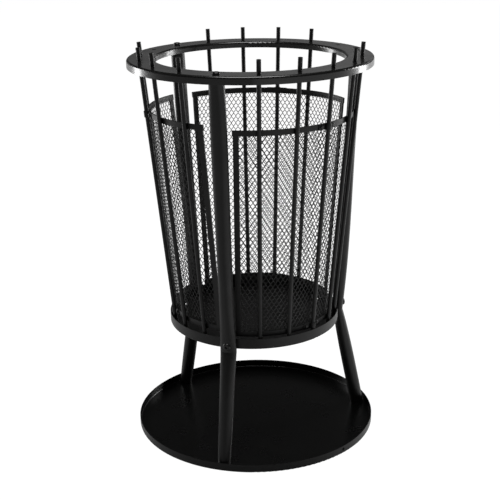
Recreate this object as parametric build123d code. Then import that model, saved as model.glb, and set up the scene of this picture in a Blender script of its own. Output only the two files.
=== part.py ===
from build123d import *
import math
import os

# Fire basket with a spark guard, standing on a loose ash plate.
# Millimetres, +Z up. The origin is the centre of the ash plate's underside.
# Angles are seen from above and start at the front (-Y), turning towards +X.

# ---------------------------------------------------------------- driving dimensions

# ash plate
PLATE_D = 460.0
PLATE_H = 15.5
PLATE_SHEET = 1.5
PLATE_BEND = 3.0
DRAIN_HOLE_D = 6.0
DRAIN_HOLE_BELOW_EDGE = 6.5
DRAIN_ANGLE = 45.0

# basket pan
PAN_D = 323.0
PAN_UNDERSIDE_Z = 213.0
PAN_RIM_H = 20.0
PAN_SHEET = 1.5
PAN_BEND = 3.0

# top ring, a channel open downwards
RING_TOP_Z = 718.0
RING_D = 445.0
RING_FLANGE_W = 50.0
RING_SHEET = 2.0
RING_BEND = 4.0
RING_OUTER_SKIRT = 14.0
RING_INNER_SKIRT = 11.5

# the places around the basket: legs and bars share one even division
PLACES = 18
LEGS = 3
FIRST_LEG_ANGLE = -16.0
EMPTY_ANGLES = (124.0, -116.0)

# bars
BAR_D = 8.0
BAR_OUT_FROM_FLANGE_MIDDLE = 3.0
BAR_RIM_GAP = 3.5
BAR_ABOVE_RING = 24.0
BAR_BELOW_PAN = 1.0

# legs, tubes that are flattened where they bend at the pan
LEG_TUBE_D = 26.5
LEG_WALL = 2.0
LEG_SKIRT_GAP = 5.25
LEG_BEND_BELOW_PAN = 1.0
LEG_BEND_WIDTH = 30.5
LEG_BEND_DEPTH = 18.0
LEG_FADE_UP = 110.0
LEG_FADE_DOWN = 140.0
LEG_FOOT_WIDTH = 22.0
LEG_FOOT_DEPTH = 27.0
LEG_SEAT_BITE = 0.5
FOOT_RIM_GAP = 1.8
FOOT_FLOOR_GAP = 0.05
PLUG_H = 14.0

# M8 button-head bolts and nuts
BOLT_D = 8.0
BOLT_HEAD_D = 14.0
BOLT_HEAD_H = 4.4
BOLT_DOME_R = 3.2
BOLT_SOCKET = 5.0
BOLT_SOCKET_DEPTH = 2.6
BOLT_CLEARANCE = 0.2
RING_BOLT_LENGTH = 20.0
PAN_BOLT_RISE = 11.0
PAN_BOLT_SINK = 1.0
NUT_ACROSS_FLATS = 13.0
NUT_H = 6.5
NUT_THREAD_SHOWING = 1.5

# spark guard panels
GUARD_ABOVE_RIM = 0.5
GUARD_BELOW_RING = 96.5
GUARD_STRIP_T = 3.0
GUARD_STRIP_W = 10.0
GUARD_TOP_SPAN = 108.0
GUARD_BOTTOM_SPAN = 115.0
GUARD_RAIL_OVERHANG = 1.5
GUARD_LIFTS = [0.0, 4.0, 7.0]
GUARD_SHORTENINGS = [0.0, 0.0, 7.0]
MESH_T = 0.5
MESH_LAP = 5.0

# saddle clips and their M4 screws
CLIP_T = 1.5
CLIP_H = 11.0
CLIP_W = 40.0
CLIP_SCREW_OFFSET = 13.5
SCREW_D = 4.0
SCREW_HEAD_D = 7.5
SCREW_HEAD_H = 2.4
SCREW_CLEARANCE = 0.2
SCREW_SHORT_OF_MESH = 0.1

# ---------------------------------------------------------------- worked-out values

PITCH = 360.0 / PLACES
LEG_STEP = 360.0 / LEGS
PLACES_PER_LEG = PLACES // LEGS
LEG_ANGLES = [FIRST_LEG_ANGLE + LEG_STEP * i for i in range(LEGS)]
HOLE_ANGLES = [
    FIRST_LEG_ANGLE + PITCH * i for i in range(PLACES) if i % PLACES_PER_LEG != 0
]


def same_direction(angle_a, angle_b):
    """True when two angles in degrees point the same way."""
    return abs((angle_a - angle_b + 180.0) % 360.0 - 180.0) < 0.01


BAR_ANGLES = [
    a for a in HOLE_ANGLES if not any(same_direction(a, e) for e in EMPTY_ANGLES)
]
GUARD_ANGLES = [a + LEG_STEP / 2.0 for a in LEG_ANGLES]

PAN_R = PAN_D / 2.0
PAN_INSIDE_R = PAN_R - PAN_SHEET
RING_MOUTH_R = RING_D / 2.0 - RING_FLANGE_W
BAR_RING_R = RING_D / 2.0 - RING_FLANGE_W / 2.0 + BAR_OUT_FROM_FLANGE_MIDDLE
BAR_PAN_R = PAN_INSIDE_R - BAR_RIM_GAP - BAR_D / 2.0
BAR_LEAN = (BAR_RING_R - BAR_PAN_R) / (RING_TOP_Z - PAN_UNDERSIDE_Z)
LEAN_ANGLE = math.degrees(math.atan(BAR_LEAN))
BAR_HALF_ACROSS = BAR_D / 2.0 / math.cos(math.radians(LEAN_ANGLE))
RING_UNDERSIDE_Z = RING_TOP_Z - RING_SHEET
PAN_BOLT_Z = PAN_UNDERSIDE_Z + PAN_BOLT_RISE
LEG_TOP_R = RING_D / 2.0 - RING_SHEET - LEG_SKIRT_GAP - LEG_TUBE_D / 2.0
LEG_BEND_Z = PAN_UNDERSIDE_Z - LEG_BEND_BELOW_PAN
LEG_BEND_R = PAN_R + LEG_BEND_DEPTH / 2.0 - LEG_SEAT_BITE
LEG_FOOT_Z = PLATE_SHEET + FOOT_FLOOR_GAP
LEG_FOOT_R = PLATE_D / 2.0 - PLATE_SHEET - FOOT_RIM_GAP - LEG_FOOT_DEPTH / 2.0

NUT_CORNER_R = NUT_ACROSS_FLATS / math.sqrt(3.0)
NUT_INNER_R = math.sqrt(PAN_INSIDE_R ** 2 - NUT_CORNER_R ** 2) - NUT_H

GUARD_BOTTOM_Z = PAN_UNDERSIDE_Z + PAN_RIM_H + GUARD_ABOVE_RIM
GUARD_TOP_Z = RING_TOP_Z - GUARD_BELOW_RING
TOP_RAIL_MID_Z = GUARD_TOP_Z - GUARD_STRIP_W / 2.0
BOTTOM_RAIL_MID_Z = GUARD_BOTTOM_Z + GUARD_STRIP_W / 2.0
CLIP_HEIGHTS = (BOTTOM_RAIL_MID_Z, TOP_RAIL_MID_Z)
GUARD_OUT = -BAR_HALF_ACROSS
GUARD_IN = GUARD_OUT - GUARD_STRIP_T
MESH_IN = GUARD_IN - MESH_T

# ---------------------------------------------------------------- helpers


def at_angle(shape, angle):
    """Turn a shape made on the +X axis to an angle counted from the front."""
    return Rot(0, 0, angle - 90.0) * shape


def bar_radius(z):
    """Distance from the basket's axis to the centre line of a bar."""
    return BAR_PAN_R + (z - PAN_UNDERSIDE_Z) * BAR_LEAN


def between(start, end, share):
    """The value this share of the way from start to end."""
    return start + share * (end - start)


def arc_degrees(length, radius):
    """Angle that an arc of this length covers at this radius."""
    return math.degrees(length / radius)


def outline_face(points):
    """Flat face above the +X axis with a closed outline of (radius, z) points."""
    outline = Polyline(*[(r, 0, z) for r, z in points], close=True)
    return make_face(outline)


def tray(diameter, height, sheet, bend, z):
    """Round pan: a flat floor with an upright rim and a bent lower corner."""
    radius = diameter / 2.0
    profile = outline_face([
        (0, z), (radius, z), (radius, z + height), (radius - sheet, z + height),
        (radius - sheet, z + sheet), (0, z + sheet),
    ])
    outer_corner = profile.vertices().sort_by_distance((radius, 0, z))[0]
    profile = fillet(outer_corner, bend)
    inner_corner = profile.vertices().sort_by_distance((radius - sheet, 0, z + sheet))[0]
    profile = fillet(inner_corner, bend - sheet)
    return revolve(profile, Axis.Z, 360)


def cone_shell(inner, outer, z_low, z_high, span):
    """Part of a shell parallel to the cone of bars, centred on the +X axis.

    inner and outer are horizontal distances from the bars' centre lines.
    """
    profile = outline_face([
        (bar_radius(z_low) + inner, z_low), (bar_radius(z_low) + outer, z_low),
        (bar_radius(z_high) + outer, z_high), (bar_radius(z_high) + inner, z_high),
    ])
    return Rot(0, 0, -span / 2.0) * revolve(profile, Axis.Z, span)


def bar_rod(diameter, z_low, z_high):
    """Round rod on a bar's centre line, on the +X axis, square cut."""
    low = Vector(bar_radius(z_low), 0, z_low)
    high = Vector(bar_radius(z_high), 0, z_high)
    along = high - low
    seat = Plane(origin=low, z_dir=along)
    return seat * Cylinder(diameter / 2.0, along.length,
                           align=(Align.CENTER, Align.CENTER, Align.MIN))


def button_bolt(length):
    """Button-head bolt along -Z, its head resting on Z = 0."""
    head = Cylinder(BOLT_HEAD_D / 2.0, BOLT_HEAD_H,
                    align=(Align.CENTER, Align.CENTER, Align.MIN))
    head = fillet(head.edges().group_by(Axis.Z)[-1], BOLT_DOME_R)
    socket = extrude(RegularPolygon(BOLT_SOCKET / 2.0, 6, major_radius=False),
                     BOLT_SOCKET_DEPTH)
    head -= Pos(0, 0, BOLT_HEAD_H - BOLT_SOCKET_DEPTH) * socket
    shank = Cylinder(BOLT_D / 2.0, length,
                     align=(Align.CENTER, Align.CENTER, Align.MAX))
    return head + shank


def radial_plane(radius, z):
    """Plane at the +X axis whose normal points straight outwards."""
    return Plane(origin=(radius, 0, z), x_dir=(0, 1, 0), z_dir=(1, 0, 0))


# ---------------------------------------------------------------- sheet-metal parts


def make_ash_plate():
    """Loose round plate that catches the ash."""
    plate = tray(PLATE_D, PLATE_H, PLATE_SHEET, PLATE_BEND, 0.0)
    drain_z = PLATE_H - DRAIN_HOLE_BELOW_EDGE
    drain = radial_plane(PLATE_D / 2.0, drain_z) * Cylinder(DRAIN_HOLE_D / 2.0, 6 * PLATE_SHEET)
    return plate - at_angle(drain, DRAIN_ANGLE)


def make_basket_pan():
    """Pan that the bars stand in and the fire burns on."""
    pan = tray(PAN_D, PAN_RIM_H, PAN_SHEET, PAN_BEND, PAN_UNDERSIDE_Z)
    bar_hole = bar_rod(BAR_D, PAN_UNDERSIDE_Z - BAR_D, PAN_UNDERSIDE_Z + BAR_D)
    for angle in HOLE_ANGLES:
        pan -= at_angle(bar_hole, angle)
    bolt_hole = radial_plane(PAN_R, PAN_BOLT_Z) * Cylinder(
        BOLT_D / 2.0 + BOLT_CLEARANCE, 6 * PAN_SHEET)
    for angle in LEG_ANGLES:
        pan -= at_angle(bolt_hole, angle)
    return pan


def make_top_ring():
    """Channel ring that spaces the bars and caps the legs."""
    outer = RING_D / 2.0
    mouth = RING_MOUTH_R
    profile = outline_face([
        (mouth, RING_TOP_Z - RING_INNER_SKIRT), (mouth, RING_TOP_Z),
        (outer, RING_TOP_Z), (outer, RING_TOP_Z - RING_OUTER_SKIRT),
        (outer - RING_SHEET, RING_TOP_Z - RING_OUTER_SKIRT),
        (outer - RING_SHEET, RING_UNDERSIDE_Z), (mouth + RING_SHEET, RING_UNDERSIDE_Z),
        (mouth + RING_SHEET, RING_TOP_Z - RING_INNER_SKIRT),
    ])
    profile = fillet(profile.vertices().group_by(Axis.Z)[-1], RING_BEND)
    under_corners = [
        profile.vertices().sort_by_distance((r, 0, RING_UNDERSIDE_Z))[0]
        for r in (outer - RING_SHEET, mouth + RING_SHEET)
    ]
    profile = fillet(under_corners, RING_BEND - RING_SHEET)
    ring = revolve(profile, Axis.Z, 360)
    bar_hole = bar_rod(BAR_D, RING_TOP_Z - BAR_D, RING_TOP_Z + BAR_D)
    for angle in HOLE_ANGLES:
        ring -= at_angle(bar_hole, angle)
    bolt_hole = Pos(LEG_TOP_R, 0, RING_TOP_Z) * Cylinder(
        BOLT_D / 2.0 + BOLT_CLEARANCE, 4 * RING_SHEET)
    for angle in LEG_ANGLES:
        ring -= at_angle(bolt_hole, angle)
    return ring


# ---------------------------------------------------------------- legs


def leg_centre_radius(z):
    """Distance from the basket's axis to the leg's centre line."""
    if z >= LEG_BEND_Z:
        share = (z - LEG_BEND_Z) / (RING_UNDERSIDE_Z - LEG_BEND_Z)
        return between(LEG_BEND_R, LEG_TOP_R, share)
    share = (LEG_BEND_Z - z) / (LEG_BEND_Z - LEG_FOOT_Z)
    return between(LEG_BEND_R, LEG_FOOT_R, share)


def leg_loft(stations, inset):
    """Loft through oval sections of (z, width, depth), each inset by a wall."""
    sections = []
    for z, width, depth in stations:
        oval = Ellipse(depth / 2.0 - inset, width / 2.0 - inset)
        sections.append(Pos(leg_centre_radius(z), 0, z) * oval)
    return loft(sections)


def leg_station(z, share):
    """Oval section at z, this share of the way from the bend's oval to the round tube."""
    width = between(LEG_BEND_WIDTH, LEG_TUBE_D, share)
    depth = between(LEG_BEND_DEPTH, LEG_TUBE_D, share)
    return z, width, depth


UPPER_STATIONS = [
    leg_station(LEG_BEND_Z, 0.0),
    leg_station(LEG_BEND_Z + 0.4 * LEG_FADE_UP, 0.6),
    leg_station(LEG_BEND_Z + LEG_FADE_UP, 1.0),
    leg_station(RING_UNDERSIDE_Z, 1.0),
]
LOWER_STATIONS = [
    (LEG_FOOT_Z, LEG_FOOT_WIDTH, LEG_FOOT_DEPTH),
    leg_station(LEG_BEND_Z - LEG_FADE_DOWN, 1.0),
    leg_station(LEG_BEND_Z - 0.4 * LEG_FADE_DOWN, 0.75),
    leg_station(LEG_BEND_Z, 0.0),
]


def leg_seat_radius():
    """Where the pan bolt's head sits, just below the crest of the leg's face."""
    (low_z, _, low_depth), (high_z, _, high_depth) = UPPER_STATIONS[:2]
    depth = between(low_depth, high_depth, (PAN_BOLT_Z - low_z) / (high_z - low_z))
    return leg_centre_radius(PAN_BOLT_Z) + depth / 2.0 - PAN_BOLT_SINK


def make_leg_bore():
    """The hollow of a leg, as one solid."""
    return leg_loft(UPPER_STATIONS, LEG_WALL) + leg_loft(LOWER_STATIONS, LEG_WALL)


def make_leg():
    """Bent tube leg on the +X axis, with its bolt holes and its seat on the pan."""
    tube = leg_loft(UPPER_STATIONS, 0.0) + leg_loft(LOWER_STATIONS, 0.0)
    tube -= make_leg_bore()
    pan_body = Pos(0, 0, PAN_UNDERSIDE_Z) * Cylinder(
        PAN_R, PAN_RIM_H, align=(Align.CENTER, Align.CENTER, Align.MIN))
    tube -= pan_body
    seat = radial_plane(leg_seat_radius(), PAN_BOLT_Z)
    outwards = (Align.CENTER, Align.CENTER, Align.MIN)
    tube -= seat * Cylinder(BOLT_HEAD_D / 2.0 + BOLT_CLEARANCE, LEG_BEND_DEPTH, align=outwards)
    tube -= seat * Cylinder(BOLT_D / 2.0 + BOLT_CLEARANCE, 3 * LEG_BEND_DEPTH)
    return tube


def make_leg_plug():
    """Threaded plug that closes a leg's top end."""
    slab = Pos(LEG_TOP_R, 0, RING_UNDERSIDE_Z) * Box(
        2 * LEG_TUBE_D, 2 * LEG_TUBE_D, PLUG_H,
        align=(Align.CENTER, Align.CENTER, Align.MAX))
    plug = leg_loft(UPPER_STATIONS, LEG_WALL) & slab
    plug -= Pos(LEG_TOP_R, 0, RING_UNDERSIDE_Z) * Cylinder(BOLT_D / 2.0, 3 * PLUG_H)
    return plug


# ---------------------------------------------------------------- fasteners of the frame


def make_pan_nut():
    """Hex nut inside the pan's rim, its flat against the curved wall."""
    hexagon = RegularPolygon(NUT_ACROSS_FLATS / 2.0, 6, major_radius=False)
    nut = extrude(hexagon - Circle(BOLT_D / 2.0), NUT_H)
    return radial_plane(NUT_INNER_R, PAN_BOLT_Z) * nut


def make_pan_bolt():
    """Bolt through a leg's bend and the pan's rim, into the nut."""
    length = leg_seat_radius() - NUT_INNER_R + NUT_THREAD_SHOWING
    return radial_plane(leg_seat_radius(), PAN_BOLT_Z) * button_bolt(length)


def make_ring_bolt():
    """Bolt down through the ring's flange into a leg's plug."""
    return Pos(LEG_TOP_R, 0, RING_TOP_Z) * button_bolt(RING_BOLT_LENGTH)


# ---------------------------------------------------------------- spark guard


class Panel:
    """Heights and spans of one guard; each hangs a little differently on its bar."""

    def __init__(self, lift, shortening):
        self.lift = lift
        self.bottom_z = GUARD_BOTTOM_Z + lift
        self.top_z = GUARD_TOP_Z + lift
        self.bottom_span = GUARD_BOTTOM_SPAN - shortening
        self.top_span = GUARD_TOP_SPAN - shortening


def up_the_bar(lift):
    """Shift that slides a clip or screw up along its leaning bar."""
    return Pos(BAR_LEAN * lift, 0, lift)


def rail(middle_z, lift, span):
    """Curved flat strip along a guard's top or bottom; middle_z is where it hangs unlifted."""
    low = middle_z + lift - GUARD_STRIP_W / 2.0
    return tapped(cone_shell(GUARD_IN, GUARD_OUT, low, low + GUARD_STRIP_W, span), middle_z, lift)


def stile_line(side, panel):
    """Bottom and top point of a stile's centre line; side is -1 or +1."""
    points = []
    for z, span in ((panel.bottom_z, panel.bottom_span), (panel.top_z, panel.top_span)):
        radius = bar_radius(z) + GUARD_IN
        inset = arc_degrees(GUARD_STRIP_W / 2.0 + GUARD_RAIL_OVERHANG, radius)
        turn = math.radians(side * (span / 2.0 - inset))
        points.append(Vector(radius * math.cos(turn), radius * math.sin(turn), z))
    return points


def stile_plane(side, panel):
    """Plane at a stile's middle: Z along it, X outwards, Y across it."""
    low, high = stile_line(side, panel)
    middle = (low + high) * 0.5
    outwards = Vector(middle.X, middle.Y, 0)
    along = high - low
    across = along.cross(outwards)
    return Plane(origin=middle, x_dir=across.cross(along), z_dir=along)


def make_stile(side, panel):
    """Flat strip between the rails at one end of a guard panel."""
    shell = cone_shell(GUARD_IN, GUARD_OUT, panel.bottom_z + GUARD_STRIP_W,
                       panel.top_z - GUARD_STRIP_W, panel.bottom_span)
    low, high = stile_line(side, panel)
    reach = 20 * GUARD_STRIP_T
    strip = stile_plane(side, panel) * Box(reach, GUARD_STRIP_W, (high - low).length * 1.2)
    return shell & strip


def make_guard_mesh(panel):
    """Thin curved sheet that holds the place of the diamond mesh."""
    sheet = cone_shell(MESH_IN, GUARD_IN, panel.bottom_z + GUARD_STRIP_W - MESH_LAP,
                       panel.top_z - GUARD_STRIP_W + MESH_LAP, panel.bottom_span)
    reach = 20 * GUARD_STRIP_T
    for side in (-1, 1):
        low, high = stile_line(side, panel)
        beyond = stile_plane(side, panel) * Pos(0, side * reach / 2.0, 0) * Box(
            reach, reach, (high - low).length * 1.2)
        sheet -= beyond
    return sheet


def clip_screw_plane(side, z):
    """Plane on the outside of a clip's ear, square to the leaning rail."""
    radius = bar_radius(z) + GUARD_OUT + CLIP_T
    turn = side * arc_degrees(CLIP_SCREW_OFFSET, radius)
    upright = Plane(origin=(radius, 0, z), x_dir=(0, 1, 0),
                    z_dir=(math.cos(math.radians(LEAN_ANGLE)), 0, -math.sin(math.radians(LEAN_ANGLE))))
    return Rot(0, 0, turn) * upright.location


def make_clip(z):
    """Saddle strap over a bar, with an ear on the rail at each side."""
    low, high = z - CLIP_H / 2.0, z + CLIP_H / 2.0
    face = GUARD_OUT
    ears = cone_shell(face, face + CLIP_T, low, high, arc_degrees(CLIP_W, bar_radius(z)))
    outer = BAR_D / 2.0 + CLIP_T
    roof = cone_shell(face, 4 * outer, low, high, arc_degrees(4 * outer, bar_radius(z)))
    hump = bar_rod(2 * outer, low - outer, high + outer) & roof
    neck = cone_shell(face, 0.0, low, high, arc_degrees(2 * outer, bar_radius(z)))
    strap = ears + hump + neck - bar_rod(BAR_D, low - 2 * outer, high + 2 * outer)
    for side in (-1, 1):
        strap -= clip_screw_plane(side, z) * Cylinder(
            SCREW_D / 2.0 + SCREW_CLEARANCE, 4 * CLIP_T)
    return strap


def make_clip_screw(side, z):
    """Domed screw through a clip's ear, tapped into the rail."""
    head = Cylinder(SCREW_HEAD_D / 2.0, SCREW_HEAD_H,
                    align=(Align.CENTER, Align.CENTER, Align.MIN))
    head = fillet(head.edges().group_by(Axis.Z)[-1], SCREW_HEAD_H / 2.0)
    length = (CLIP_T + GUARD_STRIP_T) * math.cos(math.radians(LEAN_ANGLE)) - SCREW_SHORT_OF_MESH
    shank = Cylinder(SCREW_D / 2.0, length, align=(Align.CENTER, Align.CENTER, Align.MAX))
    return clip_screw_plane(side, z) * (head + shank)


def tapped(strip, z, lift):
    """Strip with the holes that the clip screws are driven into."""
    for side in (-1, 1):
        strip -= up_the_bar(lift) * clip_screw_plane(side, z) * Cylinder(
            SCREW_D / 2.0, 4 * (CLIP_T + GUARD_STRIP_T))
    return strip


# ---------------------------------------------------------------- build and write


def write(name, *solids):
    """Write one node, made of one or more separate solids."""
    shape = solids[0] if len(solids) == 1 else Compound(children=list(solids))
    export_step(shape, f"parts/{name}.step")


os.makedirs("parts", exist_ok=True)

write("ash_plate", make_ash_plate())
write("basket_pan", make_basket_pan())
write("top_ring", make_top_ring())

bar = bar_rod(BAR_D, PAN_UNDERSIDE_Z - BAR_BELOW_PAN, RING_TOP_Z + BAR_ABOVE_RING)
for number, angle in enumerate(BAR_ANGLES, start=1):
    write(f"bar_{number:02d}", at_angle(bar, angle))

leg = make_leg()
plug = make_leg_plug()
for number, angle in enumerate(LEG_ANGLES, start=1):
    write(f"leg_{number}", at_angle(leg, angle))
    write(f"leg_plug_{number}", at_angle(plug, angle))

write("ring_bolts", *[at_angle(make_ring_bolt(), a) for a in LEG_ANGLES])
write("pan_bolts", *[at_angle(make_pan_bolt(), a) for a in LEG_ANGLES])
write("pan_nuts", *[at_angle(make_pan_nut(), a) for a in LEG_ANGLES])

clips = [make_clip(z) for z in CLIP_HEIGHTS]
screws = [make_clip_screw(side, z) for z in CLIP_HEIGHTS for side in (-1, 1)]
for number, angle in enumerate(GUARD_ANGLES, start=1):
    panel = Panel(GUARD_LIFTS[number - 1], GUARD_SHORTENINGS[number - 1])
    raised = up_the_bar(panel.lift)
    top_rail = rail(TOP_RAIL_MID_Z, panel.lift, panel.top_span)
    bottom_rail = rail(BOTTOM_RAIL_MID_Z, panel.lift, panel.bottom_span)
    write(f"guard_top_rail_{number}", at_angle(top_rail, angle))
    write(f"guard_bottom_rail_{number}", at_angle(bottom_rail, angle))
    write(f"guard_stile_left_{number}", at_angle(make_stile(-1, panel), angle))
    write(f"guard_stile_right_{number}", at_angle(make_stile(1, panel), angle))
    write(f"guard_mesh_{number}", at_angle(make_guard_mesh(panel), angle))
    write(f"guard_clips_{number}", *[at_angle(raised * clip, angle) for clip in clips])
    write(f"clip_screws_{number}", *[at_angle(raised * screw, angle) for screw in screws])
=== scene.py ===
"""Looks of a painted steel fire basket with diamond-mesh spark guards and a loose ash plate.

Metres, +Z up. The origin is the centre of the ash plate's underside.
"""

import logging
import math
from dataclasses import dataclass
from enum import Enum

import bmesh
import bpy
from mathutils import Matrix, Vector

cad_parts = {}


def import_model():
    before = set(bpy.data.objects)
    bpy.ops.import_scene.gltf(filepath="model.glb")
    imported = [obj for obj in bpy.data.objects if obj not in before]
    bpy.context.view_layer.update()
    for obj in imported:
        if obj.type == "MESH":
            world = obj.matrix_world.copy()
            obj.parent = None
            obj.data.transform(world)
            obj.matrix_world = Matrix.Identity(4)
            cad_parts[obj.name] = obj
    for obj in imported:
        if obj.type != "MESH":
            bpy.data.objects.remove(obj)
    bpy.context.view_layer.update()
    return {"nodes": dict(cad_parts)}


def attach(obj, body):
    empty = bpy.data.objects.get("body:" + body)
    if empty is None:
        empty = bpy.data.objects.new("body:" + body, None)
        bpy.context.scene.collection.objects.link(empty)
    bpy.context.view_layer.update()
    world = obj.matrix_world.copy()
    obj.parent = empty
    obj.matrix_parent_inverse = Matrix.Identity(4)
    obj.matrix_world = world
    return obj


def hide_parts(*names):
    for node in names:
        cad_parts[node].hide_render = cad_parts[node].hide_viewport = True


LOG = logging.getLogger("fire_basket")
MM = 0.001
Value = float | tuple[float, ...] | bpy.types.NodeSocket


# ---------------------------------------------------------------- small node helpers


class Tree:
    """A node tree with short calls for adding and joining nodes."""

    def __init__(self, tree: bpy.types.NodeTree) -> None:
        """Wraps a node tree.

        Args:
            tree: the tree that nodes are added to.
        """
        self.tree = tree

    def add(self, kind: str, **settings: object) -> bpy.types.Node:
        """Adds a node.

        Args:
            kind: the node's class name.
            settings: values for the node's own properties.

        Returns:
            The new node.
        """
        node = self.tree.nodes.new(kind)
        for key, value in settings.items():
            setattr(node, key, value)
        return node

    def join(self, start: bpy.types.NodeSocket, end: bpy.types.NodeSocket) -> None:
        """Links an output socket to an input socket."""
        self.tree.links.new(start, end)

    def math(self, operation: str, first: Value, second: Value = 0.0,
             clamp: bool = False) -> bpy.types.NodeSocket:
        """Adds a Math node.

        Args:
            operation: the node's operation.
            first: a socket or a number.
            second: a socket or a number.
            clamp: whether the result stays between 0 and 1.

        Returns:
            The result's socket.
        """
        node = self.add("ShaderNodeMath", operation=operation, use_clamp=clamp)
        for socket, value in zip(node.inputs, (first, second)):
            self.feed(socket, value)
        return node.outputs[0]

    def feed(self, socket: bpy.types.NodeSocket, value: Value) -> None:
        """Puts a value into an input socket, or links an output socket to it.

        Args:
            socket: the input socket.
            value: a number, a colour or an output socket.
        """
        if isinstance(value, bpy.types.NodeSocket):
            self.join(value, socket)
        else:
            socket.default_value = value

    def noise(self, place: bpy.types.NodeSocket, scale: Value, detail: float,
              roughness: float = 0.55) -> bpy.types.NodeSocket:
        """Adds a noise texture.

        Args:
            place: the coordinates it reads.
            scale: features per metre, a number or a socket.
            detail: octaves of the noise.
            roughness: how strong the fine octaves are.

        Returns:
            The noise's value, from 0 to 1.
        """
        node = self.add("ShaderNodeTexNoise")
        self.join(place, node.inputs["Vector"])
        self.feed(node.inputs["Scale"], scale)
        node.inputs["Detail"].default_value = detail
        node.inputs["Roughness"].default_value = roughness
        return node.outputs["Fac"]

    def spread(self, value: bpy.types.NodeSocket, low: float, high: float,
               to_low: float = 0.0, to_high: float = 1.0) -> bpy.types.NodeSocket:
        """Stretches a part of a value's range to a new range, with a smooth ease at both ends.

        Args:
            value: the value's socket.
            low: where the part starts, which may be above its end.
            high: where the part ends.
            to_low: the result up to the start.
            to_high: the result from the end on.

        Returns:
            The result's socket.
        """
        node = self.add("ShaderNodeMapRange", interpolation_type="SMOOTHSTEP")
        self.join(value, node.inputs["Value"])
        for name, number in (("From Min", low), ("From Max", high),
                             ("To Min", to_low), ("To Max", to_high)):
            self.feed(node.inputs[name], number)
        return node.outputs["Result"]

    def blend(self, share: Value, first: Value, second: Value) -> bpy.types.NodeSocket:
        """Mixes two colours.

        Args:
            share: how much of the second colour shows, a number or a socket.
            first: a colour or a socket.
            second: a colour or a socket.

        Returns:
            The mixed colour's socket.
        """
        node = self.add("ShaderNodeMix", data_type="RGBA")
        self.feed(node.inputs["Factor"], share)
        self.feed(node.inputs["A"], first)
        self.feed(node.inputs["B"], second)
        return node.outputs["Result"]


def grey(value: float, warmth: float = 0.0) -> tuple[float, float, float, float]:
    """A linear grey, a little warmer or cooler than neutral."""
    return (value * (1.0 + warmth), value, value * (1.0 - warmth), 1.0)


@dataclass(frozen=True)
class Ramp:
    """A smooth change from one level to another along a value.

    Attributes:
        start: the value where the change starts, which may be above its end.
        end: the value where the change is complete.
        low: the level up to the start.
        high: the level from the end on.
    """

    start: float
    end: float
    low: float = 0.0
    high: float = 1.0

    def over(self, tree: Tree, value: bpy.types.NodeSocket) -> bpy.types.NodeSocket:
        """Adds the ramp to a tree, driven by a value."""
        return tree.spread(value, self.start, self.end, self.low, self.high)


# ---------------------------------------------------------------- shared effects


class EffectGroup:
    """Base of the shared shader effects: a node group with named inputs and outputs.

    Attributes:
        name: the group's name.
        inputs: each input's name, socket type and usual value.
        outputs: each output's name and socket type.
    """

    name = ""
    inputs: tuple[tuple[str, str, float], ...] = ()
    outputs: tuple[tuple[str, str], ...] = ()

    def build(self) -> bpy.types.NodeTree:
        """Builds the group once.

        Returns:
            The finished node group.
        """
        made = bpy.data.node_groups.get(self.name)
        if made is not None:
            return made
        group = bpy.data.node_groups.new(self.name, "ShaderNodeTree")
        for name, kind, value in self.inputs:
            socket = group.interface.new_socket(name, in_out="INPUT", socket_type=kind)
            if kind == "NodeSocketFloat":
                socket.default_value = value
        for name, kind in self.outputs:
            group.interface.new_socket(name, in_out="OUTPUT", socket_type=kind)
        tree = Tree(group)
        start = tree.add("NodeGroupInput")
        end = tree.add("NodeGroupOutput")
        self.fill(tree, start.outputs, end.inputs)
        return group

    def fill(self, tree: Tree, given: bpy.types.NodeOutputs, result: bpy.types.NodeInputs) -> None:
        """Adds the effect's own nodes.

        Args:
            tree: the group's tree.
            given: the group's input values.
            result: the group's output values.
        """
        raise NotImplementedError


class PaintGrain(EffectGroup):
    """Orange-peel skin, fine speckle and slow gloss drift of a sprayed heat-proof paint.

    Attributes:
        peel_detail: octaves of the skin.
        speckle_detail: octaves of the speckle.
        speckle_height: how high the speckle stands, against the skin.
        speckle_ramp: from no speck to a full speck, over its noise.
        drift_per_metre: how many glossy and dull patches a metre holds.
        drift_detail: octaves of those patches.
        drift_ramp: from glossy to dull, over their noise.
    """

    peel_detail = 1.5
    speckle_detail = 2.0
    speckle_height = 0.3
    speckle_ramp = Ramp(0.45, 0.75)
    drift_per_metre = 17.0
    drift_detail = 4.0
    drift_ramp = Ramp(0.3, 0.7)
    name = "paint_grain"
    inputs = (("Place", "NodeSocketVector", 0.0), ("Peel per metre", "NodeSocketFloat", 700.0),
              ("Speckle per metre", "NodeSocketFloat", 2600.0))
    outputs = (("Height", "NodeSocketFloat"), ("Gloss drift", "NodeSocketFloat"),
               ("Speckle", "NodeSocketFloat"))

    def fill(self, tree: Tree, given: bpy.types.NodeOutputs, result: bpy.types.NodeInputs) -> None:
        """Adds the paint's nodes.

        Args:
            tree: the group's tree.
            given: the group's input values.
            result: the group's output values.
        """
        place = given["Place"]
        peel = tree.noise(place, given["Peel per metre"], self.peel_detail)
        speckle = tree.noise(place, given["Speckle per metre"], self.speckle_detail)
        drift = tree.noise(place, self.drift_per_metre, self.drift_detail)
        fine = tree.math("MULTIPLY", speckle, self.speckle_height)
        tree.join(tree.math("ADD", peel, fine), result["Height"])
        tree.join(self.drift_ramp.over(tree, drift), result["Gloss drift"])
        tree.join(self.speckle_ramp.over(tree, speckle), result["Speckle"])


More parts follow.
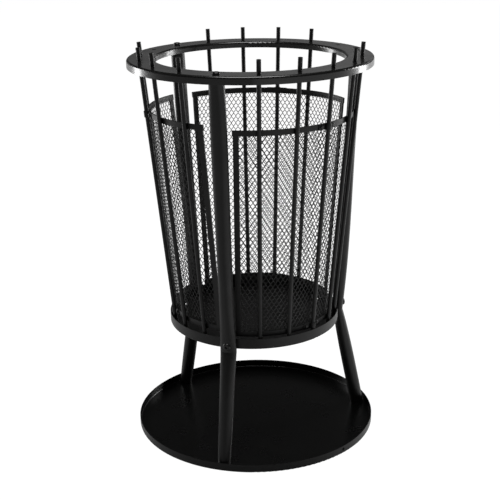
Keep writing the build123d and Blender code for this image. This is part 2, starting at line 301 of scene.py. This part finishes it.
class EdgeWearAndHighlight(EffectGroup):
    """Broken mask along sharp edges, where paint is thin and handling has polished it, and where the
    colour is also lightened as a painted highlight.

    Attributes:
        bevel_samples: rays that feel for an edge.
        edge_ramp: from a flat face to an edge, over how well rounded and true normals agree.
        patches_per_metre: how many breaks a metre of edge holds.
        patch_detail: octaves of the breaks.
        patch_ramp: from a nearly unrubbed patch to a full one, over their noise.
    """

    bevel_samples = 4
    edge_ramp = Ramp(0.99, 0.8)
    patches_per_metre = 160.0
    patch_detail = 5.0
    patch_ramp = Ramp(0.35, 0.65, low=0.25)
    name = "edge_rub"
    inputs = (("Place", "NodeSocketVector", 0.0), ("Reach", "NodeSocketFloat", 0.0008))
    outputs = (("Wear_and_highlight", "NodeSocketFloat"),)

    def fill(self, tree: Tree, given: bpy.types.NodeOutputs, result: bpy.types.NodeInputs) -> None:
        """Adds the edge mask's nodes.

        Args:
            tree: the group's tree.
            given: the group's input values.
            result: the group's output values.
        """
        rounded = tree.add("ShaderNodeBevel", samples=self.bevel_samples)
        tree.join(given["Reach"], rounded.inputs["Radius"])
        flat = tree.add("ShaderNodeNewGeometry")
        dot = tree.add("ShaderNodeVectorMath", operation="DOT_PRODUCT")
        tree.join(rounded.outputs["Normal"], dot.inputs[0])
        tree.join(flat.outputs["Normal"], dot.inputs[1])
        edge = self.edge_ramp.over(tree, dot.outputs["Value"])
        breaks = tree.noise(given["Place"], self.patches_per_metre, self.patch_detail)
        patches = self.patch_ramp.over(tree, breaks)
        tree.join(tree.math("MULTIPLY", edge, patches, clamp=True), result["Wear_and_highlight"])


class SettledDust(EffectGroup):
    """Thin ash and dust that lies on faces looking up, thicker in loose patches.

    Attributes:
        up_ramp: from bare to dusty, over how much a face looks up.
        patch_detail: octaves of the patches.
        patch_roughness: how strong their fine octaves are.
        patch_ramp: from bare to dusty, over the patches' noise.
        grains_per_metre: how many grains a metre holds.
        grain_detail: octaves of the grains.
        grain_ramp: from no grain to a full one, over their noise.
        grain_share: how much of the dust is loose grains.
        film_share: how much of it is an even film.
    """

    up_ramp = Ramp(0.6, 0.98)
    patch_detail = 6.0
    patch_roughness = 0.6
    patch_ramp = Ramp(0.4, 0.75)
    grains_per_metre = 1900.0
    grain_detail = 1.0
    grain_ramp = Ramp(0.5, 0.72)
    grain_share = 0.8
    film_share = 0.2
    name = "settled_dust"
    inputs = (("Place", "NodeSocketVector", 0.0), ("Patches per metre", "NodeSocketFloat", 9.0))
    outputs = (("Dust", "NodeSocketFloat"),)

    def fill(self, tree: Tree, given: bpy.types.NodeOutputs, result: bpy.types.NodeInputs) -> None:
        """Adds the dust mask's nodes.

        Args:
            tree: the group's tree.
            given: the group's input values.
            result: the group's output values.
        """
        flat = tree.add("ShaderNodeNewGeometry")
        parts = tree.add("ShaderNodeSeparateXYZ")
        tree.join(flat.outputs["Normal"], parts.inputs[0])
        up = self.up_ramp.over(tree, parts.outputs["Z"])
        patches = self.patch_ramp.over(tree, tree.noise(
            given["Place"], given["Patches per metre"], self.patch_detail, self.patch_roughness))
        grains = self.grain_ramp.over(tree, tree.noise(
            given["Place"], self.grains_per_metre, self.grain_detail))
        loose = tree.math("MULTIPLY", grains, self.grain_share)
        thickness = tree.math("MULTIPLY", patches, tree.math("ADD", loose, self.film_share))
        tree.join(tree.math("MULTIPLY", up, thickness, clamp=True), result["Dust"])


# ---------------------------------------------------------------- finishes

SPECK_LIGHTER = 1.7             # a speck's brightness over its paint's
# Edges are lightened in colour for wear and also as a painted highlight along them.
WORN_AND_HIGHLIT_LIGHTER = 4.0              # a rubbed edge's brightness over its paint's, which is also a painted edge highlight
WORN_STEEL_AND_HIGHLIGHT = 0.012              # what the steel under a rubbed edge adds to that, together with the painted highlight
WORN_AND_HIGHLIT_WARMTH = 0.04
DUST_GREY = grey(0.16, 0.08)
RUB_POLISH = 0.1                # how much smoother rubbing makes the paint
DUST_DULLNESS = 0.6             # how much rougher a full cover of dust makes it


@dataclass(frozen=True)
class Paint:
    """A black paint finish and how it has aged.

    Attributes:
        name: the material's name.
        tone: linear brightness of the paint.
        roughness: roughness of the paint where it is glossiest.
        roughness_drift: how much rougher its dull patches are.
        coat: weight of the glossy top layer.
        coat_roughness: roughness of that layer.
        peel: depth of the orange-peel skin, in metres.
        peel_per_metre: how many peel dimples a metre holds.
        wear_and_highlight_reach: how far the polished band, lightened for wear and as a painted
            highlight, reaches from an edge, in metres.
        rub: how much the edges show it, as wear and as a painted highlight.
        dust: how much dust lies on faces that look up.
        warmth: how far the black leans from neutral to brown.
    """

    name: str
    tone: float = 0.0075
    roughness: float = 0.34
    roughness_drift: float = 0.10
    coat: float = 0.12
    coat_roughness: float = 0.22
    peel: float = 0.00002
    peel_per_metre: float = 700.0
    wear_and_highlight_reach: float = 0.0007
    rub: float = 0.5
    dust: float = 0.05
    warmth: float = 0.03

    def place_effect(self, tree: Tree, effect: EffectGroup, place: bpy.types.NodeSocket,
                     **values: float) -> bpy.types.NodeOutputs:
        """Places a shared effect in a material.

        Args:
            tree: the material's tree.
            effect: the effect to place.
            place: the coordinates it reads.
            values: numbers for its inputs, with _ for a space in their names.

        Returns:
            The effect's outputs.
        """
        node = tree.add("ShaderNodeGroup", node_tree=effect.build())
        tree.join(place, node.inputs["Place"])
        for key, value in values.items():
            node.inputs[key.replace("_", " ")].default_value = value
        return node.outputs

    def material(self) -> bpy.types.Material:
        """Builds the material once.

        Returns:
            The finished material.
        """
        made = bpy.data.materials.get(self.name)
        if made is not None:
            return made
        mat = bpy.data.materials.new(self.name)
        mat.use_nodes = True
        mat.node_tree.nodes.clear()
        tree = Tree(mat.node_tree)
        out = tree.add("ShaderNodeOutputMaterial")
        surface = tree.add("ShaderNodeBsdfPrincipled")
        tree.join(surface.outputs["BSDF"], out.inputs["Surface"])
        place = tree.add("ShaderNodeTexCoord").outputs["Object"]
        grain = self.place_effect(tree, PaintGrain(), place, Peel_per_metre=self.peel_per_metre)
        # Edge mask: real wear, and a painted highlight that lightens the edges.
        rub = self.place_effect(tree, EdgeWearAndHighlight(), place, Reach=self.wear_and_highlight_reach)
        dust = self.place_effect(tree, SettledDust(), place)
        wear_and_highlight = tree.math("MULTIPLY", rub["Wear_and_highlight"], self.rub)
        dusty = tree.math("MULTIPLY", dust["Dust"], self.dust)
        self.colour(tree, surface, grain, wear_and_highlight, dusty)
        self.gloss(tree, surface, grain, wear_and_highlight, dusty)
        self.relief(tree, surface, grain)
        surface.inputs["Coat Weight"].default_value = self.coat
        surface.inputs["Coat Roughness"].default_value = self.coat_roughness
        return mat

    def colour(self, tree: Tree, surface: bpy.types.Node, grain: bpy.types.NodeOutputs,
               wear_and_highlight: bpy.types.NodeSocket, dusty: bpy.types.NodeSocket) -> None:
        """Sets the paint's colour: speckle, worn edges that are also lightened as a painted
        highlight, then dust on top.

        Args:
            tree: the material's tree.
            surface: the Principled shader.
            grain: outputs of the paint's grain.
            wear_and_highlight: mask of the rubbed edges, also used as a painted edge highlight.
            dusty: mask of the dust.
        """
        paint = tree.blend(grain["Speckle"], grey(self.tone, self.warmth),
                           grey(self.tone * SPECK_LIGHTER, self.warmth))
        # Edge colour lightened for wear and as a painted highlight along the edges.
        worn_and_highlit_edge = grey(self.tone * WORN_AND_HIGHLIT_LIGHTER + WORN_STEEL_AND_HIGHLIGHT, WORN_AND_HIGHLIT_WARMTH)
        worn = tree.blend(wear_and_highlight, paint, worn_and_highlit_edge)
        tree.join(tree.blend(dusty, worn, DUST_GREY), surface.inputs["Base Color"])

    def gloss(self, tree: Tree, surface: bpy.types.Node, grain: bpy.types.NodeOutputs,
              wear_and_highlight: bpy.types.NodeSocket, dusty: bpy.types.NodeSocket) -> None:
        """Sets the roughness: slow drift, polished edges and dull dust.

        Args:
            tree: the material's tree.
            surface: the Principled shader.
            grain: outputs of the paint's grain.
            wear_and_highlight: mask of the rubbed edges, which in colour is also a painted
                highlight; here it only smooths them.
            dusty: mask of the dust.
        """
        drift = tree.math("MULTIPLY", grain["Gloss drift"], self.roughness_drift)
        base = tree.math("ADD", drift, self.roughness)
        polished = tree.math("SUBTRACT", base, tree.math("MULTIPLY", wear_and_highlight, RUB_POLISH))
        dull = tree.math("ADD", polished, tree.math("MULTIPLY", dusty, DUST_DULLNESS), clamp=True)
        tree.join(dull, surface.inputs["Roughness"])

    def relief(self, tree: Tree, surface: bpy.types.Node, grain: bpy.types.NodeOutputs) -> None:
        """Raises the paint's skin.

        Args:
            tree: the material's tree.
            surface: the Principled shader.
            grain: outputs of the paint's grain.
        """
        bump = tree.add("ShaderNodeBump")
        bump.inputs["Strength"].default_value = 1.0
        bump.inputs["Distance"].default_value = self.peel
        tree.join(grain["Height"], bump.inputs["Height"])
        tree.join(bump.outputs["Normal"], surface.inputs["Normal"])


# The plate's and ring's strong edge rub is partly a painted highlight along their rims and edges.
PLATE_PAINT = Paint("plate_paint", tone=0.001, roughness=0.27, roughness_drift=0.025, coat=0.0,
                    peel=0.000004, rub=0.9, dust=0.0)
PAN_PAINT = Paint("pan_paint", tone=0.003, roughness=0.36, coat=0.0)
RING_PAINT = Paint("ring_paint", tone=0.006, roughness=0.24, roughness_drift=0.06, coat=0.4,
                   coat_roughness=0.14, peel=0.000008, rub=0.9, dust=0.02)
ROD_PAINT = Paint("rod_paint", tone=0.003, roughness=0.38, coat=0.0, wear_and_highlight_reach=0.0005)
TUBE_PAINT = Paint("tube_paint", tone=0.0045, roughness=0.36, coat=0.0)
STRIP_PAINT = Paint("strip_paint", tone=0.004, roughness=0.42, coat=0.0, wear_and_highlight_reach=0.0004)
MESH_PAINT = Paint("mesh_paint", tone=0.003, roughness=0.45, coat=0.0, wear_and_highlight_reach=0.0002,
                   rub=0.3, dust=0.0)
FASTENER_BLACK = Paint("fastener_black", tone=0.009, roughness=0.32, roughness_drift=0.06,
                       coat=0.1, coat_roughness=0.2, peel=0.000006, peel_per_metre=1500.0,
                       wear_and_highlight_reach=0.0003, rub=0.8, dust=0.0)
PLUG_BLACK = Paint("plug_black", tone=0.008, roughness=0.45, coat=0.0)


# ---------------------------------------------------------------- the basket's steel parts


class Painted(Enum):
    """Which nodes of the model wear which paint, by the start of their names, first match first."""

    PLATE = ("ash_plate", PLATE_PAINT)
    PAN = ("basket_pan", PAN_PAINT)
    RING = ("top_ring", RING_PAINT)
    BARS = ("bar_", ROD_PAINT)
    PLUGS = ("leg_plug_", PLUG_BLACK)
    LEGS = ("leg_", TUBE_PAINT)
    GUARD_MESH = ("guard_mesh_", MESH_PAINT)
    GUARD_STRIPS = ("guard_", STRIP_PAINT)
    RING_BOLTS = ("ring_bolts", FASTENER_BLACK)
    PAN_BOLTS = ("pan_", FASTENER_BLACK)
    SCREWS = ("clip_screws_", FASTENER_BLACK)

    @classmethod
    def of(cls, node: str) -> Paint:
        """The paint that a node wears."""
        return next(entry.value[1] for entry in cls if node.startswith(entry.value[0]))


@dataclass
class SteelParts:
    """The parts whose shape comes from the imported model, and only need their paint.

    Attributes:
        nodes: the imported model's objects by name.
    """

    nodes: dict[str, bpy.types.Object]

    def dress(self) -> dict[str, str]:
        """Gives each part its paint.

        Returns:
            The name of each part's paint, by the part's name.
        """
        worn = {name: Painted.of(name) for name in self.nodes}
        for name, paint in worn.items():
            for slot in self.nodes[name].material_slots:
                slot.material = paint.material()
        return {name: paint.name for name, paint in worn.items()}


# ---------------------------------------------------------------- spark guards

WELD = 0.02 * MM                # points nearer than this are one point
ON_THE_AXIS = 0.1 * MM          # a diamond's upper and lower tips are nearer to its middle than this


def made_verts(made: dict[str, list]) -> list[bmesh.types.BMVert]:
    """The vertices among the geometry that a bmesh operator made."""
    return [part for part in made["geom"] if isinstance(part, bmesh.types.BMVert)]


@dataclass
class GuardMesh:
    """One panel of expanded diamond mesh, curved like the cone of bars.

    Attributes:
        number: which of the three guards it belongs to.
        facing: the panel's middle, in degrees from the front towards +X.
        lift: how far this guard hangs above the lowest one.
        shortening: how much less this guard spans than the widest one, in degrees.
        axis_radius_low: radius of the bars' centre lines at the pan's underside.
        pan_underside: height of the pan's underside.
        lean: how much that radius grows with each metre of height.
        face_inset: from the bars' centre lines in to the mesh's outer face.
        guard_bottom: height of the guard's lower edge.
        guard_top: height of the guard's upper edge.
        strip_width: width of the frame strips around the mesh.
        lap: how far the mesh reaches over the strips.
        span_low: angle that the guard covers at its lower edge, in degrees.
        span_high: angle that the guard covers at its upper edge, in degrees.
        rail_overhang: how far the rails reach past the upright strips.
        cell_width: width of a diamond.
        cell_height: height of a diamond.
        strand: width of a strand.
        knot: height of the joint where strands meet.
        thickness: thickness of the mesh.
    """

    number: int
    facing: float
    lift: float = 0.0
    shortening: float = 0.0
    axis_radius_low: float = 152.5 * MM
    pan_underside: float = 213.0 * MM
    lean: float = 48.0 / 505.0
    face_inset: float = 7.02 * MM
    guard_bottom: float = 233.5 * MM
    guard_top: float = 621.5 * MM
    strip_width: float = 10.0 * MM
    lap: float = 5.0 * MM
    span_low: float = 115.0
    span_high: float = 108.0
    rail_overhang: float = 1.5 * MM
    cell_width: float = 9.0 * MM
    cell_height: float = 13.6 * MM
    strand: float = 0.5 * MM
    knot: float = 2.2 * MM
    thickness: float = 0.6 * MM

    def __post_init__(self) -> None:
        """Raises and narrows the panel to where its own guard hangs."""
        self.guard_bottom += self.lift
        self.guard_top += self.lift
        self.span_low -= self.shortening
        self.span_high -= self.shortening

    def radius(self, height: float) -> float:
        """Radius of the mesh's outer face at a height."""
        return self.axis_radius_low + (height - self.pan_underside) * self.lean - self.face_inset

    def half_width(self, height: float) -> float:
        """Half the mesh's width, measured along its curve.

        Args:
            height: where it is measured.

        Returns:
            From the panel's middle to the mesh's side edge.
        """
        share = (height - self.guard_bottom) / (self.guard_top - self.guard_bottom)
        reach = self.strip_width + self.rail_overhang - self.lap
        low = self.radius(self.guard_bottom) * math.radians(self.span_low) / 2.0
        high = self.radius(self.guard_top) * math.radians(self.span_high) / 2.0
        return low + (high - low) * share - reach

    def cell(self) -> bmesh.types.BMesh:
        """One diamond in the XZ plane: a four-sided outline, its strands inset, its middle open.

        Returns:
            The diamond's mesh, flat, its middle at the origin.
        """
        cell = bmesh.new()
        bmesh.ops.create_circle(cell, cap_ends=True, segments=4, radius=1.0)
        bmesh.ops.scale(cell, verts=cell.verts,
                        vec=(self.cell_width / 2.0, self.cell_height / 2.0, 1.0))
        bmesh.ops.rotate(cell, verts=cell.verts, cent=(0, 0, 0),
                         matrix=Matrix.Rotation(math.radians(90.0), 3, "X"))
        made = bmesh.ops.inset_individual(cell, faces=cell.faces[:], thickness=self.strand / 2.0,
                                          use_even_offset=True)
        hole = [face for face in cell.faces if face not in made["faces"]]
        tips = [vert for face in hole for vert in face.verts if abs(vert.co.x) < ON_THE_AXIS]
        for tip in tips:
            tip.co.z -= math.copysign(self.knot / 2.0, tip.co.z)
        bmesh.ops.delete(cell, geom=hole, context="FACES")
        return cell

    def lattice(self) -> bmesh.types.BMesh:
        """Flat sheet of joined cells that is a little larger than the panel.

        Returns:
            The sheet's mesh in the XZ plane, X along the curve and Z up.
        """
        sheet = self.cell()
        copy = bmesh.ops.duplicate(sheet, geom=sheet.faces[:])
        bmesh.ops.translate(sheet, verts=made_verts(copy),
                            vec=(self.cell_width / 2.0, 0, self.cell_height / 2.0))
        half_columns = math.ceil(self.half_width(self.guard_top) / self.cell_width) + 1
        rows = math.ceil((self.guard_top - self.guard_bottom) / self.cell_height) + 1
        self.repeat(sheet, 2 * half_columns, Vector((self.cell_width, 0, 0)))
        self.repeat(sheet, rows, Vector((0, 0, self.cell_height)))
        bmesh.ops.translate(sheet, verts=sheet.verts,
                            vec=(-half_columns * self.cell_width, 0, self.guard_bottom))
        bmesh.ops.remove_doubles(sheet, verts=sheet.verts, dist=WELD)
        return sheet

    @staticmethod
    def repeat(sheet: bmesh.types.BMesh, count: int, step: Vector) -> None:
        """Repeats all of a mesh along a line.

        Args:
            sheet: the mesh that grows.
            count: how many copies there are in the end.
            step: from one copy to the next.
        """
        pattern = sheet.faces[:]
        for index in range(1, count):
            copy = bmesh.ops.duplicate(sheet, geom=pattern)
            bmesh.ops.translate(sheet, verts=made_verts(copy), vec=step * index)

    def trim(self, sheet: bmesh.types.BMesh) -> None:
        """Cuts the flat sheet to the panel's outline.

        Args:
            sheet: the sheet in the XZ plane.
        """
        low = self.guard_bottom + self.strip_width - self.lap
        high = self.guard_top - self.strip_width + self.lap
        cuts = [((0, 0, low), (0, 0, -1)), ((0, 0, high), (0, 0, 1))]
        for side in (-1, 1):
            foot = Vector((side * self.half_width(low), 0, low))
            head = Vector((side * self.half_width(high), 0, high))
            along = head - foot
            cuts.append((foot, Vector((along.z, 0, -along.x)) * side))
        for point, outwards in cuts:
            everything = sheet.verts[:] + sheet.edges[:] + sheet.faces[:]
            bmesh.ops.bisect_plane(sheet, geom=everything, plane_co=point, plane_no=outwards,
                                   clear_outer=True)

    def thicken(self, sheet: bmesh.types.BMesh) -> None:
        """Gives the flat sheet its thickness, away from its outer face.

        Args:
            sheet: the sheet in the XZ plane.
        """
        bmesh.ops.recalc_face_normals(sheet, faces=sheet.faces)
        if sum(face.normal.y for face in sheet.faces) > 0:
            bmesh.ops.reverse_faces(sheet, faces=sheet.faces)
        back = bmesh.ops.extrude_face_region(sheet, geom=sheet.faces[:])
        bmesh.ops.translate(sheet, verts=made_verts(back), vec=(0, self.thickness, 0))
        bmesh.ops.recalc_face_normals(sheet, faces=sheet.faces)

    def curl(self, sheet: bmesh.types.BMesh) -> None:
        """Rolls the flat sheet round the basket's axis and turns it to its place.

        Args:
            sheet: the sheet in the XZ plane, its outer face at Y = 0.
        """
        for vert in sheet.verts:
            radius = self.radius(vert.co.z)
            turn = math.radians(self.facing) + vert.co.x / radius
            reach = radius - vert.co.y
            vert.co.x, vert.co.y = reach * math.sin(turn), -reach * math.cos(turn)

    def build(self) -> bpy.types.Object:
        """Makes the panel.

        Returns:
            The panel's object, riding on the basket.
        """
        sheet = self.lattice()
        self.trim(sheet)
        self.thicken(sheet)
        self.curl(sheet)
        data = bpy.data.meshes.new(f"spark_mesh_{self.number}")
        sheet.to_mesh(data)
        sheet.free()
        panel = bpy.data.objects.new(data.name, data)
        bpy.context.scene.collection.objects.link(panel)
        panel.data.materials.append(MESH_PAINT.material())
        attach(panel, "basket")
        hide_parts(f"guard_mesh_{self.number}")
        return panel


# ---------------------------------------------------------------- the studio


@dataclass(frozen=True)
class Softbox:
    """A rectangular soft lamp that aims at the basket.

    Attributes:
        name: the lamp's name.
        place: where its middle is.
        width: the length of its level side.
        height: the length of its other side.
        power: its power in watts.
        aim: the point that it faces.
    """

    name: str
    place: tuple[float, float, float]
    width: float
    height: float
    power: float
    aim: tuple[float, float, float] = (0.0, 0.0, 0.4)

    def build(self) -> bpy.types.Object:
        """Makes the lamp.

        Returns:
            The lamp's object.
        """
        lamp = bpy.data.lights.new(self.name, "AREA")
        lamp.shape = "RECTANGLE"
        lamp.size = self.width
        lamp.size_y = self.height
        lamp.energy = self.power
        holder = bpy.data.objects.new(self.name, lamp)
        bpy.context.scene.collection.objects.link(holder)
        towards = Vector(self.aim) - Vector(self.place)
        holder.location = self.place
        holder.rotation_euler = towards.to_track_quat("-Z", "Y").to_euler()
        holder.visible_camera = False
        return holder


@dataclass(frozen=True)
class StudioPaper:
    """The floor's finish: plain white to the camera, and a low uneven glow to the basket.

    Attributes:
        seen_grey: how much light the paper scatters where the camera sees it.
        unseen_grey: how much it scatters towards the basket.
        behind: its glow towards the basket, along Y.
        right: what it adds to that on the right, along X.
        left: what it adds to that on the left, along X.
        everywhere: what it adds to that all over.
    """

    seen_grey: float = 0.1
    unseen_grey: float = 0.3
    behind: Ramp = Ramp(-0.2, 1.6, high=0.35)
    right: Ramp = Ramp(0.05, 0.3, high=0.42)
    left: Ramp = Ramp(-0.05, -0.3, high=0.16)
    everywhere: float = 0.05

    def material(self) -> bpy.types.Material:
        """Makes the paper's material.

        Returns:
            The finished material.
        """
        mat = bpy.data.materials.new("studio_paper")
        mat.use_nodes = True
        mat.node_tree.nodes.clear()
        tree = Tree(mat.node_tree)
        out = tree.add("ShaderNodeOutputMaterial")
        paper = tree.add("ShaderNodeBsdfDiffuse")
        seen = tree.add("ShaderNodeLightPath").outputs["Is Camera Ray"]
        tree.join(tree.blend(seen, grey(self.unseen_grey), grey(self.seen_grey)),
                  paper.inputs["Color"])
        hidden = tree.math("MULTIPLY", tree.math("SUBTRACT", 1.0, seen), self.unseen_glow(tree))
        glow = tree.add("ShaderNodeEmission")
        glow.inputs["Color"].default_value = grey(1.0)
        tree.join(tree.math("ADD", seen, hidden), glow.inputs["Strength"])
        both = tree.add("ShaderNodeAddShader")
        tree.join(paper.outputs[0], both.inputs[0])
        tree.join(glow.outputs[0], both.inputs[1])
        tree.join(both.outputs[0], out.inputs["Surface"])
        return mat

    def unseen_glow(self, tree: Tree) -> bpy.types.NodeSocket:
        """Adds the glow that only the basket receives.

        Args:
            tree: the material's tree.

        Returns:
            The glow's strength.
        """
        spot = tree.add("ShaderNodeSeparateXYZ")
        tree.join(tree.add("ShaderNodeTexCoord").outputs["Object"], spot.inputs[0])
        behind = self.behind.over(tree, spot.outputs["Y"])
        sides = tree.math("ADD", self.right.over(tree, spot.outputs["X"]),
                          self.left.over(tree, spot.outputs["X"]))
        return tree.math("ADD", tree.math("ADD", behind, sides), self.everywhere)


@dataclass(frozen=True)
class StudioAir:
    """The surroundings: white to the camera, and to the basket a bright band low down behind it.

    Attributes:
        under: the band's fading upwards, along Z.
        over: the band's growing from the horizon, along Z.
        behind: its growing towards the back, along Y.
        across: its growing from left to right, along X.
        band: strength of the band.
        everywhere: strength of the light from all round.
    """

    under: Ramp = Ramp(0.34, 0.2)
    over: Ramp = Ramp(0.1, 0.19, low=0.1)
    behind: Ramp = Ramp(0.1, 0.75)
    across: Ramp = Ramp(-0.25, 0.25, 0.6, 1.4)
    band: float = 0.3
    everywhere: float = 0.02

    def build(self) -> bpy.types.World:
        """Makes the surroundings and hangs them round the scene.

        Returns:
            The scene's world.
        """
        world = bpy.data.worlds.new("studio_air")
        world.use_nodes = True
        world.node_tree.nodes.clear()
        tree = Tree(world.node_tree)
        out = tree.add("ShaderNodeOutputWorld")
        seen = tree.add("ShaderNodeBackground")
        lit = tree.add("ShaderNodeBackground")
        for light in (seen, lit):
            light.inputs["Color"].default_value = grey(1.0)
        seen.inputs["Strength"].default_value = 1.0
        tree.join(self.strength(tree), lit.inputs["Strength"])
        pick = tree.add("ShaderNodeMixShader")
        tree.join(tree.add("ShaderNodeLightPath").outputs["Is Camera Ray"], pick.inputs["Fac"])
        tree.join(lit.outputs[0], pick.inputs[1])
        tree.join(seen.outputs[0], pick.inputs[2])
        tree.join(pick.outputs[0], out.inputs["Surface"])
        bpy.context.scene.world = world
        return world

    def strength(self, tree: Tree) -> bpy.types.NodeSocket:
        """Adds the light that only the basket receives.

        Args:
            tree: the world's tree.

        Returns:
            The light's strength.
        """
        parts = tree.add("ShaderNodeSeparateXYZ")
        tree.join(tree.add("ShaderNodeTexCoord").outputs["Generated"], parts.inputs[0])
        height = tree.math("MULTIPLY", self.under.over(tree, parts.outputs["Z"]),
                           self.over.over(tree, parts.outputs["Z"]))
        side = tree.math("MULTIPLY", self.behind.over(tree, parts.outputs["Y"]),
                         self.across.over(tree, parts.outputs["X"]))
        wall = tree.math("MULTIPLY", height, side)
        return tree.math("ADD", tree.math("MULTIPLY", wall, self.band), self.everywhere)


@dataclass
class Studio:
    """Pale floor, soft lamps, bright surroundings and the camera.

    Attributes:
        floor_half: half the floor's side.
        camera_place: where the camera stands.
        camera_pitch: how far it looks down, in degrees.
        camera_yaw: how far it turns to the left, in degrees.
        camera_roll: how far it leans, in degrees.
        camera_lens: its focal length in millimetres.
        camera_sensor: its sensor's width in millimetres.
        camera_near: the nearest distance that it sees.
        lamps: the soft lamps round the basket.
    """

    floor_half: float = 14.0
    camera_place: tuple[float, float, float] = (0.0041, -2.0019, 1.0271)
    camera_pitch: float = 18.73
    camera_yaw: float = 0.29
    camera_roll: float = -0.95
    camera_lens: float = 79.88
    camera_sensor: float = 36.0
    camera_near: float = 0.05
    lamps: tuple[Softbox, ...] = (
        Softbox("left_softbox", (-2.2, 1.3, 0.8), width=0.6, height=1.4, power=26.0),
        Softbox("right_softbox", (2.1, 1.2, 0.8), width=0.6, height=1.4, power=28.0),
        Softbox("top_softbox", (0.0, -0.5, 3.0), width=1.6, height=1.6, power=46.0),
    )

    def floor(self) -> bpy.types.Object:
        """Makes the pale floor.

        Returns:
            The floor's object.
        """
        slab = bmesh.new()
        bmesh.ops.create_grid(slab, x_segments=1, y_segments=1, size=self.floor_half)
        data = bpy.data.meshes.new("studio_floor")
        slab.to_mesh(data)
        slab.free()
        floor = bpy.data.objects.new(data.name, data)
        bpy.context.scene.collection.objects.link(floor)
        floor.data.materials.append(StudioPaper().material())
        return floor

    def camera(self) -> bpy.types.Object:
        """Makes the camera.

        Returns:
            The camera's object.
        """
        data = bpy.data.cameras.new("studio_camera")
        data.lens = self.camera_lens
        data.sensor_width = self.camera_sensor
        data.clip_start = self.camera_near
        camera = bpy.data.objects.new(data.name, data)
        bpy.context.scene.collection.objects.link(camera)
        camera.location = self.camera_place
        turn = (Matrix.Rotation(math.radians(self.camera_yaw), 3, "Z")
                @ Matrix.Rotation(math.radians(90.0 - self.camera_pitch), 3, "X")
                @ Matrix.Rotation(math.radians(self.camera_roll), 3, "Z"))
        camera.rotation_euler = turn.to_euler()
        bpy.context.scene.camera = camera
        return camera

    def build(self) -> None:
        """Builds the whole studio."""
        bpy.context.scene.view_settings.view_transform = "Standard"
        self.floor()
        StudioAir().build()
        self.camera()
        for lamp in self.lamps:
            lamp.build()


# ---------------------------------------------------------------- the whole scene


def main() -> None:
    """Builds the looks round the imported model, piece by piece."""
    logging.basicConfig(level=logging.INFO, format="%(name)s: %(message)s")
    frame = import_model()
    studio = Studio()
    studio.build()
    LOG.info("studio: %d lamps", len(studio.lamps))
    for part, paint in SteelParts(frame["nodes"]).dress().items():
        LOG.info("%s: %s", part, paint)
    for guard in (GuardMesh(1, facing=44.0), GuardMesh(2, facing=164.0, lift=4.0 * MM),
                  GuardMesh(3, facing=284.0, lift=7.0 * MM, shortening=7.0)):
        panel = guard.build()
        LOG.info("%s: %d faces", panel.name, len(panel.data.polygons))


if __name__ == "__main__":
    main()
